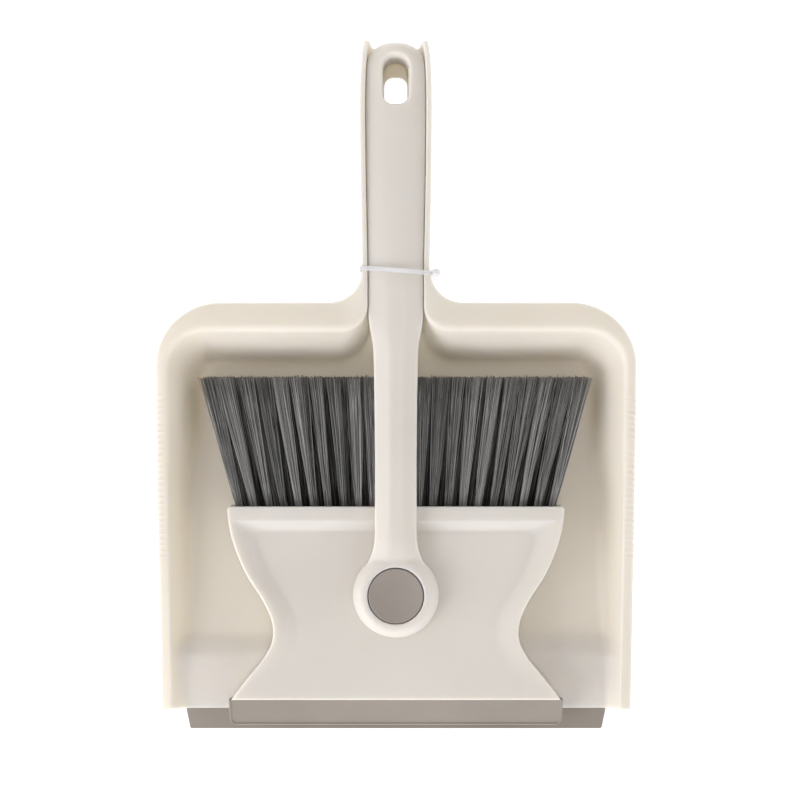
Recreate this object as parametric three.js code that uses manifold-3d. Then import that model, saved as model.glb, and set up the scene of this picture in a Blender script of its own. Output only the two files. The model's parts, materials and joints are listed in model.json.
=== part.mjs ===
// A dust pan with a brush nested in it. The brush head swivels on its handle, so either its bristles
// or its squeegee blade point away from the hand.
// Millimetres. The pan lies flat on the floor, z = 0. +Y runs from the soft lip to the end of the
// handles, +X is to the right, and the origin is under the middle of the whole set.
import * as THREE from "three";
import { mergeVertices } from "three/addons/utils/BufferGeometryUtils.js";
import Module from "manifold-3d";

const wasm = await Module();
wasm.setup();

// ---------------------------------------------------------------- driving dimensions

const GAP = 0.3; // between pieces that touch
const LENGTH = 361.8; // lip to handle end
const HANDLE_END = LENGTH / 2;
const LIP_TIP = -LENGTH / 2;

const WALL = 2.2; // moulded wall of the pan
const TRAY = {
  front: -169.4,
  floorTop: 2.5,
  half: 120, // inner edge of the rim, at the sides
  rear: 32.9, // inner edge of the rim, at the back
  corner: 21,
  run: 13, // how far the walls lean in, from rim to floor
};
const FLANGE = { half: 126, rear: 46.8, corner: 34, sideDrop: 1.5, rearDrop: 4, thick: 2 };
const RIM = { height: 40, at: 33, frontSlope: 0.148, handleSlope: 0.0744, bend: 20 };
const RAMP = { start: -128, crest: -142, crestTop: 7.5, frontTop: 3.5 };
const LIP = { tuckedTo: -163, thick: 1.6, tipThick: 0.7, half: 113, tipHalf: 110.5 };

// The channel handle of the pan: half widths along it, then its floor and fillets.
const CHANNEL = {
  halfWidths: [
    [64, 17.5],
    [112, 18.4],
    [150, 18.7],
    [171, 18],
    [HANDLE_END, 16.5],
  ],
  wall: 2.8,
  draft: 1.6,
  floorAt50: 18,
  floorSlope: 0.0611,
  cornerRadius: 7,
  outerFillet: 17.5,
  innerFillet: 12.5,
};
const PAN_HOLE = { width: 12, from: 147.8, to: 165.8, fromCorner: 4, toCorner: 4 };

// Brush pieces are drawn round the hub: their y = 0 is the swivel axis.
const HUB_Y = -106.6;
const BOSS = { radius: 22.75, bottom: 22.8, top: 34, floor: 26 };
const BUTTON = { radius: 14.8, travel: 3, top: 33.5, under: 31, clearance: 0.4 };
const POST = { radius: 7.4, bottom: 12 };
const BRUSH_HOLE = { width: 13, from: 255.6, to: 279.6, fromCorner: 4.5, toCorner: 6.4 };
const HEAD = {
  bottom: 8,
  face: 22.5,
  rim: 27,
  shell: 2.2,
  top: 46.5,
  bladeEdge: -56,
  bandWidth: 8,
};
const HEAD_SIDE = [
  [89.2, 46.5],
  [86.5, 30],
  [79.5, 12],
  [70.5, -2.5],
  [65.3, -14.5],
  [65.4, -25],
  [70.6, -35],
  [79.5, -46],
  [87, -56],
];
const COVER = { thick: 2.4, hubHole: 11.5 };
const RIBS = { thick: 1.2, across: [17, 50], along: [14, -21] };
const SCREW_PLACES = [
  [50, 24],
  [-50, 24],
  [50, -36],
  [-50, -36],
];
const BLADE = { half: 88, tip: -70.9, tipBottom: 9.6, tongueHalf: 84, tongue: 4.4 };
const BLOCK = { half: 85, from: 38, to: 46.1, bottom: 10.7, top: 24.1 };
const BRISTLES = {
  rows: 4,
  tufts: 22,
  rootHalf: 82.6,
  tipHalf: 100.2,
  rootLow: 12.8,
  rootHigh: 22,
  tipLow: 11,
  tipHigh: 23.6,
  tipY: 114.5,
  rootRadius: 1.2,
  tipRadius: 2.6,
};
const TIE = { y: 63.2, width: 2.6, thick: 0.8, clearance: 0.4 };

// ---------------------------------------------------------------- geometry helpers

const vec3 = (x, y, z) => new THREE.Vector3(x, y, z);

function smooth(t) {
  const s = THREE.MathUtils.clamp(t, 0, 1);
  return s * s * (3 - 2 * s);
}

function meanPoint(ring) {
  const sum = ring.reduce((total, p) => total.add(p), vec3(0, 0, 0));
  return sum.divideScalar(ring.length);
}

// A closed geometry as a manifold-3d solid with its faces pointing out.
function solid(geometry) {
  const bare = geometry.clone();
  bare.deleteAttribute("normal");
  bare.deleteAttribute("uv");
  const merged = mergeVertices(bare, 1e-4);
  const triVerts = new Uint32Array(merged.index.array);
  const vertProperties = merged.attributes.position.array;
  const made = new wasm.Manifold(new wasm.Mesh({ numProp: 3, vertProperties, triVerts }));
  if (made.volume() > 0) return made;
  return new wasm.Manifold(new wasm.Mesh({ numProp: 3, vertProperties, triVerts: triVerts.reverse() }));
}

function geometryOf(manifold) {
  const { numProp, vertProperties, triVerts } = manifold.getMesh();
  const positions = [];
  for (let i = 0; i < vertProperties.length; i += numProp) {
    positions.push(vertProperties[i], vertProperties[i + 1], vertProperties[i + 2]);
  }
  const geometry = new THREE.BufferGeometry();
  geometry.setAttribute("position", new THREE.Float32BufferAttribute(positions, 3));
  geometry.setIndex([...triVerts]);
  geometry.computeVertexNormals();
  return geometry;
}

const joined = (first, ...rest) => rest.reduce((whole, piece) => whole.add(piece), first);
const cut = (first, ...rest) => rest.reduce((whole, piece) => whole.subtract(piece), first);

// A solid skin through rings of equally many points, closed by a fan at each end.
function loft(rings, capCentre = meanPoint) {
  const count = rings[0].length;
  const points = [...rings.flat(), capCentre(rings[0]), capCentre(rings.at(-1))];
  const lastRing = (rings.length - 1) * count;
  const startCap = rings.length * count;
  const index = [];
  for (let i = 0; i < count; i++) {
    const next = (i + 1) % count;
    for (let base = 0; base < lastRing; base += count) {
      index.push(base + i, base + next, base + count + next);
      index.push(base + i, base + count + next, base + count + i);
    }
    index.push(startCap, next, i);
    index.push(startCap + 1, lastRing + i, lastRing + next);
  }
  const geometry = new THREE.BufferGeometry().setFromPoints(points);
  geometry.setIndex(index);
  return solid(geometry);
}

function box(x0, x1, y0, y1, z0, z1) {
  const geometry = new THREE.BoxGeometry(x1 - x0, y1 - y0, z1 - z0);
  return solid(geometry.translate((x0 + x1) / 2, (y0 + y1) / 2, (z0 + z1) / 2));
}

function rod(radius, x, y, z0, z1, sides = 20) {
  const geometry = new THREE.CylinderGeometry(radius, radius, z1 - z0, sides);
  return solid(geometry.rotateX(Math.PI / 2).translate(x, y, (z0 + z1) / 2));
}

// A solid turned round the z axis from [radius, z] corners that start and end on the axis.
function turned(corners, sides = 36) {
  const profile = corners.map(([r, z]) => new THREE.Vector2(r, z));
  return solid(new THREE.LatheGeometry(profile, sides).rotateX(Math.PI / 2));
}

function upright(shape, z0, z1, curveSegments = 10) {
  const geometry = new THREE.ExtrudeGeometry(shape, { depth: z1 - z0, bevelEnabled: false, curveSegments });
  return solid(geometry.translate(0, 0, z0));
}

// A prism along x with a [y, z] outline.
function alongX(corners, half) {
  const shape = new THREE.Shape(corners.map(([y, z]) => new THREE.Vector2(y, z)));
  const geometry = new THREE.ExtrudeGeometry(shape, { depth: 2 * half, bevelEnabled: false });
  const turn = new THREE.Matrix4().makeBasis(vec3(0, 1, 0), vec3(0, 0, 1), vec3(1, 0, 0));
  return solid(geometry.applyMatrix4(turn).translate(-half, 0, 0));
}

// A prism along y with an [x, z] outline.
function alongY(shape, y0, y1) {
  const geometry = new THREE.ExtrudeGeometry(shape, { depth: y1 - y0, bevelEnabled: false, curveSegments: 8 });
  return solid(geometry.rotateX(Math.PI / 2).translate(0, y1, 0));
}

// A slot along y with a corner radius for each end.
function slotShape({ width, from, to, fromCorner, toCorner }) {
  const half = width / 2;
  const shape = new THREE.Shape();
  shape.absarc(half - toCorner, to - toCorner, toCorner, 0, Math.PI / 2);
  shape.absarc(toCorner - half, to - toCorner, toCorner, Math.PI / 2, Math.PI);
  shape.absarc(fromCorner - half, from + fromCorner, fromCorner, Math.PI, 1.5 * Math.PI);
  shape.absarc(half - fromCorner, from + fromCorner, fromCorner, 1.5 * Math.PI, 2 * Math.PI);
  return shape;
}

function arc(x, y, radius, fromDegrees, toDegrees, steps) {
  const from = THREE.MathUtils.degToRad(fromDegrees);
  const to = THREE.MathUtils.degToRad(toDegrees);
  const curve = new THREE.EllipseCurve(x, y, radius, radius, from, to, to < from);
  return curve.getPoints(steps);
}

function spline(corners, steps) {
  return new THREE.SplineCurve(corners.map(([x, y]) => new THREE.Vector2(x, y))).getPoints(steps);
}

// Value at `at` of a piecewise straight line through [at, value] pairs.
function between(pairs, at) {
  const next = pairs.findIndex(([position]) => position >= at);
  if (next === 0) return pairs[0][1];
  if (next < 0) return pairs.at(-1)[1];
  const [a, from] = pairs[next - 1];
  const [b, to] = pairs[next];
  return from + ((to - from) * (at - a)) / (b - a);
}

// ---------------------------------------------------------------- the pan

// Height of the rim's inner edge: it falls toward the lip and rises along the handle.
function rimHeight(y) {
  const front = RIM.height + (y - RIM.at) * RIM.frontSlope;
  const back = RIM.height + (y - RIM.at) * RIM.handleSlope;
  return THREE.MathUtils.lerp(front, back, smooth((y - RIM.at + RIM.bend) / (2 * RIM.bend)));
}

const channelFloor = (y) => CHANNEL.floorAt50 + (y - 50) * CHANNEL.floorSlope;

// Half of an outline of tray, concave fillet and handle, from the front right corner to the handle's
// end. The z of each point says how far the flange has dropped there: 0 at its inner edge.
function panSide({ half, rear, corner, fillet, inset, sideDrop = 0, rearDrop = 0 }) {
  const handle = spline(CHANNEL.halfWidths, 12).map((p) => ({ x: p.y - inset, y: p.x }));
  const neck = handle[0].x;
  const side = [TRAY.front - 8, -120, -60, 0].map((y) => vec3(half, y, sideDrop));
  const cornerArc = arc(half - corner, rear - corner, corner, 0, 90, 8);
  const cornerPoints = cornerArc.map((p, i) => {
    return vec3(p.x, p.y, THREE.MathUtils.lerp(sideDrop, rearDrop, i / (cornerArc.length - 1)));
  });
  const filletArc = arc(neck + fillet, rear + fillet, fillet, 270, 180, 7);
  const filletPoints = filletArc.map((p, i) => {
    return vec3(p.x, p.y, rearDrop * (1 - i / (filletArc.length - 1)));
  });
  const handlePoints = handle.slice(1).map((p) => vec3(p.x, p.y, 0));
  return [...side, ...cornerPoints, ...filletPoints, ...handlePoints];
}

function panRing(options, heightOf) {
  const right = panSide(options);
  const whole = [...right, ...right.toReversed().map((p) => vec3(-p.x, p.y, p.z))];
  return whole.map((p) => vec3(p.x, p.y, heightOf(p)));
}

const panCapCentre = (ring) => vec3(0, 10, meanPoint(ring).z);

// The rim flange and the tops of the handle's walls, as one plate that the hollows are cut from.
function flangePlate() {
  const inner = { ...TRAY, fillet: CHANNEL.innerFillet, inset: CHANNEL.wall };
  const outer = { ...FLANGE, fillet: CHANNEL.outerFillet, inset: 0 };
  const topOf = (p) => rimHeight(p.y) - p.z;
  const underOf = (p) => topOf(p) - FLANGE.thick;
  return loft([panRing(inner, underOf), panRing(outer, underOf), panRing(outer, topOf), panRing(inner, topOf)],
    panCapCentre);
}

// A ring of the tray `lean` in from the rim's inner edge, at a share of the wall's height.
function trayRing(lean, share, lower) {
  const half = TRAY.half - lean;
  const rear = TRAY.rear - lean;
  const corner = TRAY.corner - 0.6 * lean;
  const right = [
    ...[TRAY.front - 8, -120, -60, 0].map((y) => new THREE.Vector2(half, y)),
    ...arc(half - corner, rear - corner, corner, 0, 90, 8),
  ];
  const whole = [...right, ...right.toReversed().map((p) => new THREE.Vector2(-p.x, p.y))];
  return whole.map((p) => {
    const rim = rimHeight(p.y);
    const steepness = 0.5 + (0.5 * (rim - 10)) / (RIM.height - 10);
    const x = p.x * ((TRAY.half - lean * steepness) / half);
    return vec3(x, p.y, TRAY.floorTop + share * (rim - TRAY.floorTop) - lower);
  });
}

// [lean, share of height] of the inner wall from the rim down to the floor.
const WALL_CURVE = [
  [0, 1],
  [0.32, 0.5],
  [0.55, 0.2],
  [0.72, 0.07],
  [1, 0],
];

function trayHollow() {
  const above = trayRing(-0.8, 1, -20);
  return loft([above, ...WALL_CURVE.map(([lean, share]) => trayRing(lean * TRAY.run, share, 0))]);
}

function trayOutside() {
  const skin = WALL_CURVE.map(([lean, share]) => {
    const lower = THREE.MathUtils.lerp(TRAY.floorTop, 1, smooth(share * 2));
    return trayRing(lean * TRAY.run - WALL, share, lower);
  });
  return loft(skin);
}

// One U-shaped section of the channel. Near the tray the sections lean with the tray's back wall.
function channelRing(u, half, floor, top) {
  const lean = (TRAY.run / (RIM.height - TRAY.floorTop)) * (1 - smooth((u - 45) / 30));
  const foot = half - CHANNEL.draft;
  const r = CHANNEL.cornerRadius;
  const rim = rimHeight(u);
  const right = [new THREE.Vector2(half + 0.4, top), new THREE.Vector2(half, Math.min(rim, top - 0.5))];
  right.push(...arc(foot - r, floor + r, r, 0, -90, 5));
  const section = [...right, ...right.toReversed().map((p) => new THREE.Vector2(-p.x, p.y))];
  return section.map((p) => vec3(p.x, u + lean * (p.y - RIM.height), p.y));
}

// Half width of the handle at u, opening out in a concave fillet where it meets the tray.
function channelHalf(u, inset, fillet) {
  const ordered = CHANNEL.halfWidths;
  const straight = between(ordered, u) - inset;
  const start = TRAY.rear + CHANNEL.innerFillet;
  const into = THREE.MathUtils.clamp(start - u, 0, fillet);
  return straight + fillet - Math.sqrt(fillet * fillet - into * into);
}

function channelSolid(stations, inset, fillet, lower, top) {
  return loft(
    stations.map((u) => channelRing(u, channelHalf(u, inset, fillet), channelFloor(u) - lower, top(u))),
  );
}

function makePanTray() {
  const handleStations = [75, 95, 120, 145, 165, HANDLE_END];
  const filletStations = [29, 33.5, 35.5, 38, 41, 45.4];
  const outside = joined(
    flangePlate(),
    trayOutside(),
    channelSolid([...filletStations, ...handleStations], 0, CHANNEL.innerFillet - WALL, WALL,
      (u) => rimHeight(u) - 1),
  );
  const channelHollow = channelSolid([20, ...filletStations, ...handleStations, HANDLE_END + 8],
    CHANNEL.wall, CHANNEL.innerFillet, 0, () => 70);
  const ramp = alongX(
    [
      [RAMP.start, 0],
      [TRAY.front - 4, 0],
      [TRAY.front - 4, RAMP.frontTop - 0.4],
      [TRAY.front, RAMP.frontTop],
      [RAMP.crest, RAMP.crestTop],
    ],
    LIP.half + 2,
  );
  const lipSeat = box(-200, 200, TRAY.front - 10, LIP.tuckedTo + GAP, -1, LIP.thick + GAP);
  const beyondFront = box(-200, 200, TRAY.front - 40, TRAY.front, -5, 90);
  const hangingHole = upright(slotShape(PAN_HOLE), 0, 60);
  const hollowed = cut(outside, trayHollow(), channelHollow);
  const sloped = joined(hollowed, ramp.intersect(trayOutside()));
  return cut(sloped, lipSeat, beyondFront, hangingHole);
}

function makePanLip() {
  const right = [
    vec3(LIP.half, LIP.tuckedTo, LIP.thick),
    vec3(LIP.half, TRAY.front - 0.6, LIP.thick),
    vec3(LIP.half - 0.8, LIP_TIP + 4, LIP.tipThick + 0.3),
    vec3(LIP.tipHalf, LIP_TIP, LIP.tipThick),
  ];
  const top = [...right.toReversed(), ...right.map((p) => vec3(-p.x, p.y, p.z))];
  const bottom = top.map((p) => vec3(p.x, p.y, 0));
  return loft([bottom, top], (ring) => vec3(0, TRAY.front - 0.6, ring[0].z > 0 ? LIP.thick : 0));
}

// The tie runs round the pan's handle and over the brush handle that lies in it.
function makeHandleTie() {
  const loop = (spread) => {
    const shape = new THREE.Shape();
    const side = 17.6 + spread;
    const bottom = channelFloor(TIE.y) - WALL - spread;
    const wallTop = rimHeight(TIE.y) + 0.4 + spread;
    shape.moveTo(-10, bottom);
    shape.lineTo(10, bottom);
    shape.quadraticCurveTo(side - 0.6, bottom, side, bottom + 9);
    shape.lineTo(side, wallTop - 1);
    shape.quadraticCurveTo(side, wallTop, side - 1.5, wallTop);
    shape.quadraticCurveTo(9, 45 + spread, 0, 45 + spread);
    shape.quadraticCurveTo(-9, 45 + spread, -side + 1.5, wallTop);
    shape.quadraticCurveTo(-side, wallTop, -side, wallTop - 1);
    shape.lineTo(-side, bottom + 9);
    shape.quadraticCurveTo(-side + 0.6, bottom, -10, bottom);
    return shape;
  };
  const outer = alongY(loop(TIE.clearance + TIE.thick), TIE.y - TIE.width / 2, TIE.y + TIE.width / 2);
  const inner = alongY(loop(TIE.clearance), TIE.y - TIE.width, TIE.y + TIE.width);
  const lockHead = box(18.3, 23.2, TIE.y - 2.6, TIE.y + 1.9, 38.2, 42.6);
  const tail = box(18.3, 19.6, TIE.y - TIE.width / 2, TIE.y + TIE.width / 2, 34.5, 38.5);
  return joined(cut(outer, inner), lockHead, tail);
}

// ---------------------------------------------------------------- the brush handle

// [y from the hub, half width, top, bottom, squareness of the top] along the handle.
const HANDLE_STATIONS = [
  [17.5, 14.5, 33.2, 28, 3],
  [23, 12.5, 34.8, 28, 3],
  [31, 11.3, 36, 28, 3],
  [47, 11.05, 37.3, 28, 3],
  [80, 11.1, 38.7, 28, 3],
  [114, 11.5, 40, 28, 2.8],
  [130, 11.85, 41.3, 25, 2.6],
  [150, 12.5, 42.6, 20.3, 2.4],
  [170, 13.1, 44, 20.5, 2.3],
  [210, 14, 46.4, 22.7, 2.2],
  [250, 14.6, 48.9, 25.2, 2.2],
  [268, 14.4, 50.1, 26.2, 2.2],
  [277, 13.5, 50.9, 26.9, 2.2],
  [281.5, 12.3, 51, 27.4, 2.2],
  [284.7, 9.6, 50.4, 28.2, 2.2],
  [286.6, 6, 48.9, 30, 2],
  [287.1, 3.6, 47, 32, 2],
];

function handleValue(column, y) {
  return between(HANDLE_STATIONS.map((station) => [station[0], station[column]]), y);
}

// A rounded section of the handle at y, `inset` inside its skin.
function handleRing(y, inset, floorShift) {
  const half = handleValue(1, y) - inset;
  const top = handleValue(2, y) - inset;
  const bottom = handleValue(3, y) - floorShift;
  const power = 2 / handleValue(4, y);
  const middle = Math.max(bottom + 2.5, top - 10);
  const points = [];
  const steps = 12;
  for (let i = 0; i <= steps; i++) {
    const angle = (Math.PI * i) / steps;
    const side = Math.sign(Math.cos(angle)) * Math.abs(Math.cos(angle)) ** power;
    points.push(vec3(half * side, y, middle + (top - middle) * Math.abs(Math.sin(angle)) ** power));
  }
  const foot = Math.min(4.5, half * 0.4);
  points.push(vec3(-half + foot * 0.35, y, bottom + (middle - bottom) * 0.3));
  points.push(vec3(-half + foot, y, bottom));
  points.push(vec3(half - foot, y, bottom));
  points.push(vec3(half - foot * 0.35, y, bottom + (middle - bottom) * 0.3));
  return points;
}

// The boss, its pocket for the button, and the post that the head turns on.
function hubBoss() {
  const pocket = BUTTON.radius + BUTTON.clearance;
  return turned([
    [0, 21],
    [1.6, 21],
    [1.6, POST.bottom],
    [POST.radius, POST.bottom],
    [POST.radius, BOSS.bottom],
    [BOSS.radius, BOSS.bottom],
    [BOSS.radius, BOSS.top - 4],
    [BOSS.radius - 0.8, BOSS.top - 1.8],
    [BOSS.radius - 2.6, BOSS.top - 0.4],
    [BOSS.radius - 4.5, BOSS.top],
    [pocket, BOSS.top],
    [pocket, BOSS.floor],
    [0, BOSS.floor],
  ]);
}

function makeBrushHandle() {
  const grip = loft(HANDLE_STATIONS.map(([y]) => handleRing(y, 0, 0)).toReversed());
  const pocket = rod(BUTTON.radius + BUTTON.clearance, 0, 0, BOSS.floor, 60, 40);
  const bays = [];
  const bayPitch = 33;
  for (let start = 28; start + bayPitch < BRUSH_HOLE.from; start += bayPitch) {
    const rings = [0, 10, 20, bayPitch - 2].map((step) => handleRing(start + step, 2.4, 3));
    bays.push(loft(rings.toReversed()));
  }
  const hole = upright(slotShape(BRUSH_HOLE), 10, 70);
  const notches = [1, -1].map((side) => rod(1.3, 0, side * (POST.radius + 0.3), 14, 19, 12));
  return cut(joined(cut(grip, pocket), hubBoss()), ...bays, hole, ...notches);
}

function makeSwivelButton() {
  return turned([
    [0, BUTTON.under - 1.6],
    [2.2, BUTTON.under - 1.6],
    [2.2, BUTTON.under],
    [BUTTON.radius - 1.8, BUTTON.under],
    [BUTTON.radius - 1.6, BUTTON.under - 1.6],
    [BUTTON.radius, BUTTON.under - 1.6],
    [BUTTON.radius, BUTTON.top - 0.5],
    [BUTTON.radius - 0.6, BUTTON.top],
    [BUTTON.radius - 1.6, BUTTON.top],
    [9, BUTTON.top - 0.6],
    [0, BUTTON.top - 0.9],
  ]);
}

class Coil extends THREE.Curve {
  constructor(radius, z0, z1, turns) {
    super();
    Object.assign(this, { radius, z0, z1, turns });
  }
  getPoint(t) {
    const angle = 2 * Math.PI * this.turns * t;
    const z = this.z0 + (this.z1 - this.z0) * t;
    return vec3(this.radius * Math.cos(angle), this.radius * Math.sin(angle), z);
  }
}

function makeButtonSpring() {
  const wire = 0.4;
  const path = new Coil(4, BOSS.floor + wire + GAP, BUTTON.under - wire - GAP, 3.5);
  const section = new THREE.Shape().absarc(0, 0, wire, 0, 2 * Math.PI);
  return solid(new THREE.ExtrudeGeometry(section, { steps: 36, extrudePath: path, curveSegments: 3 }));
}

function makePivotWasher() {
  return cut(rod(10.2, 0, 0, 10.7, POST.bottom - GAP, 28), rod(2, 0, 0, 9, 13, 16));
}

function makePivotScrew() {
  return turned([[0, 8.3], [3.4, 8.3], [4, 8.9], [4, 10.4], [1.3, 10.4], [1.3, 20], [0, 20.6]], 20);
}

// A leaf of spring steel whose nose rests in a notch of the post.
function makeDetentSpring() {
  const shape = new THREE.Shape();
  shape.moveTo(-7.5, 11.9);
  shape.lineTo(-1, 8.1);
  shape.quadraticCurveTo(0, 7.3, 1, 8.1);
  shape.lineTo(7.5, 11.9);
  shape.lineTo(7.2, 12.4);
  shape.lineTo(1, 8.8);
  shape.quadraticCurveTo(0, 8, -1, 8.8);
  shape.lineTo(-7.2, 12.4);
  return upright(shape, 15, 18, 4);
}

// ---------------------------------------------------------------- the brush head

const sidePoints = spline(HEAD_SIDE, 24).map((p) => [p.y, p.x]).toReversed();
const headHalf = (y) => between(sidePoints, y);
const screwSeat = () => HEAD.bottom + COVER.thick;

// The head's outline, narrower by `inset` at the sides, from `bottom` to `top`.
function headOutline(inset, bottom, top, heightOf) {
  const steps = 18;
  const right = [];
  for (let i = 0; i <= steps; i++) {
    const y = THREE.MathUtils.lerp(bottom, top, i / steps);
    right.push(vec3(headHalf(y) - inset, y, heightOf(y)));
  }
  return [...right, ...right.toReversed().map((p) => vec3(-p.x, p.y, p.z))];
}

const headCentre = (ring) => vec3(0, -10, meanPoint(ring).z);

// The rim round the sunk face fades out toward the blade.
function headRim(y) {
  return HEAD.face + 0.1 + (HEAD.rim - HEAD.face - 0.1) * smooth((y - HEAD.bladeEdge) / 70);
}

// Stiffening ribs behind the sunk face, down to the back cover.
function headRibs() {
  const t = RIBS.thick / 2;
  const low = screwSeat() + GAP;
  const high = HEAD.face - 1;
  const from = HEAD.bladeEdge + 1;
  const to = HEAD.top - 1;
  const lengthwise = RIBS.across.flatMap((x) => [
    box(x - t, x + t, from, to, low, high),
    box(-x - t, -x + t, from, to, low, high),
  ]);
  const crosswise = RIBS.along.map((y) => box(1 - headHalf(y), headHalf(y) - 1, y - t, y + t, low, high));
  return [...lengthwise, ...crosswise];
}

function makeHeadFrontShell() {
  const level = (z) => () => z;
  const edge = 1.2;
  const body = loft(
    [
      headOutline(0, HEAD.bladeEdge, HEAD.top, level(HEAD.bottom)),
      headOutline(0, HEAD.bladeEdge, HEAD.top, (y) => headRim(y) - edge),
      headOutline(edge, HEAD.bladeEdge + edge * 0.4, HEAD.top - edge, headRim),
    ],
    headCentre,
  );
  const bandEdge = HEAD.top - HEAD.bandWidth;
  const recess = loft(
    [
      headOutline(7.5, HEAD.bladeEdge - 3, bandEdge - 1.5, level(HEAD.face)),
      headOutline(2.6, HEAD.bladeEdge - 3, bandEdge, (y) => headRim(y) + 0.02),
      headOutline(2.6, HEAD.bladeEdge - 3, bandEdge, level(HEAD.rim + 8)),
    ],
    headCentre,
  );
  const inside = (z) => headOutline(HEAD.shell, HEAD.bladeEdge + HEAD.shell, HEAD.top - HEAD.shell, level(z));
  const hollow = loft([inside(HEAD.bottom - 2), inside(HEAD.face - HEAD.shell)], headCentre);
  const tuftSlot = box(-BLOCK.half - GAP, BLOCK.half + GAP, BLOCK.from - GAP, HEAD.top + 5,
    BLOCK.bottom - GAP, BLOCK.top + GAP);
  const slotHalf = BLADE.tongueHalf + GAP;
  const bladeSlot = box(-slotHalf, slotHalf, HEAD.bladeEdge - 5, HEAD.bladeEdge + BLADE.tongue + GAP, 10.4, 17.1);
  const sleeve = rod(11, 0, 0, POST.bottom + 0.6, HEAD.face - 0.5, 32);
  const bearing = rod(POST.radius + 0.4, 0, 0, 0, 60, 32);
  const springWindow = box(-7.8, 7.8, 6, 12.8, 14.7, 18.3);
  const bosses = SCREW_PLACES.map(([x, y]) => rod(3.2, x, y, screwSeat() + GAP, HEAD.face - 1, 16));
  const pilots = SCREW_PLACES.map(([x, y]) => rod(1.5, x, y, 0, 19, 12));
  const shell = joined(cut(body, recess, hollow), sleeve, ...headRibs(), ...bosses);
  return cut(shell, bearing, springWindow, tuftSlot, bladeSlot, ...pilots);
}

function makeHeadBackCover() {
  const inset = HEAD.shell + 0.4;
  const level = (z) => () => z;
  const outline = (z) => headOutline(inset, HEAD.bladeEdge + inset, HEAD.top - inset, level(z));
  const plate = loft([outline(HEAD.bottom), outline(screwSeat())], headCentre);
  const holes = SCREW_PLACES.flatMap(([x, y]) => [
    rod(3.4, x, y, 0, HEAD.bottom + 1.2, 16),
    rod(1.9, x, y, 0, 20, 16),
  ]);
  return cut(plate, rod(COVER.hubHole, 0, 0, 0, 20, 28), ...holes);
}

function makeHeadScrew() {
  return turned([[0, 8.15], [2.9, 8.15], [2.9, 8.9], [1.2, 8.9], [1.2, 17.6], [0, 18.2]], 16);
}

function makeSqueegeeBlade() {
  const root = HEAD.bladeEdge - GAP;
  const blade = alongX(
    [
      [root, 10.5],
      [BLADE.tip, BLADE.tipBottom],
      [BLADE.tip + 0.2, 11.2],
      [root, 19.6],
    ].toReversed(),
    BLADE.half,
  );
  const tongue = box(-BLADE.tongueHalf, BLADE.tongueHalf, root - 1, HEAD.bladeEdge + BLADE.tongue, 10.7, 16.8);
  const cornerCut = (side) => {
    const shape = new THREE.Shape();
    const corner = side * (BLADE.half + 0.1);
    shape.moveTo(corner, BLADE.tip - 1);
    shape.lineTo(corner, BLADE.tip + 5);
    shape.quadraticCurveTo(corner, BLADE.tip, corner - side * 5, BLADE.tip - 1);
    return upright(shape, 0, 30, 6);
  };
  return joined(cut(blade, cornerCut(1), cornerCut(-1)), tongue);
}

function makeTuftBlock() {
  return box(-BLOCK.half, BLOCK.half, BLOCK.from, BLOCK.to, BLOCK.bottom, BLOCK.top);
}

// One row of tufts, fanning out from a thin strip on the block. Rows stand half a pitch apart.
function makeBristleRow(row) {
  const share = row / (BRISTLES.rows - 1);
  const rootZ = THREE.MathUtils.lerp(BRISTLES.rootLow, BRISTLES.rootHigh, share);
  const tipZ = THREE.MathUtils.lerp(BRISTLES.tipLow, BRISTLES.tipHigh, share);
  const rootY = BLOCK.to + GAP;
  const count = BRISTLES.tufts - (row % 2);
  const sides = 5;
  const strip = box(-BRISTLES.rootHalf - 1.4, BRISTLES.rootHalf + 1.4, rootY, rootY + 1.2, rootZ - 1, rootZ + 1);
  const tufts = [];
  for (let i = 0; i < count; i++) {
    const across = (2 * i - (count - 1)) / (BRISTLES.tufts - 1);
    const ring = (y, x, z, radius) => {
      return Array.from({ length: sides }, (_, k) => {
        const angle = (2 * Math.PI * k) / sides;
        return vec3(x + radius * Math.cos(angle), y, z + radius * Math.sin(angle));
      });
    };
    const root = ring(rootY + 0.4, across * BRISTLES.rootHalf, rootZ, BRISTLES.rootRadius);
    const tip = ring(BRISTLES.tipY, across * BRISTLES.tipHalf, tipZ, BRISTLES.tipRadius);
    tufts.push(loft([tip, root]));
  }
  return joined(strip, ...tufts);
}

// ---------------------------------------------------------------- materials and assembly

const material = (color, roughness, metalness = 0) => {
  return new THREE.MeshStandardMaterial({ color, roughness, metalness });
};
const creamPlastic = material(0xe4dbd0, 0.45);
const taupeRubber = material(0xa59a8d, 0.6);
const greyBristle = material(0x5b5854, 0.7);
const steel = material(0xb8bcc0, 0.35, 1);
const clearPlastic = new THREE.MeshStandardMaterial({
  color: 0xf2efe9,
  roughness: 0.2,
  transparent: true,
  opacity: 0.5,
});

function named(name, shape, look) {
  const mesh = new THREE.Mesh(geometryOf(shape), look);
  mesh.name = name;
  return mesh;
}

const pan = new THREE.Group();
pan.add(
  named("pan_tray", makePanTray(), creamPlastic),
  named("pan_lip", makePanLip(), taupeRubber),
  named("handle_tie", makeHandleTie(), clearPlastic),
);

const brushHandle = new THREE.Group();
brushHandle.add(
  named("brush_handle", makeBrushHandle(), creamPlastic),
  named("swivel_button", makeSwivelButton(), taupeRubber),
  named("button_spring", makeButtonSpring(), steel),
  named("pivot_washer", makePivotWasher(), steel),
  named("pivot_screw", makePivotScrew(), steel),
);

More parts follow.
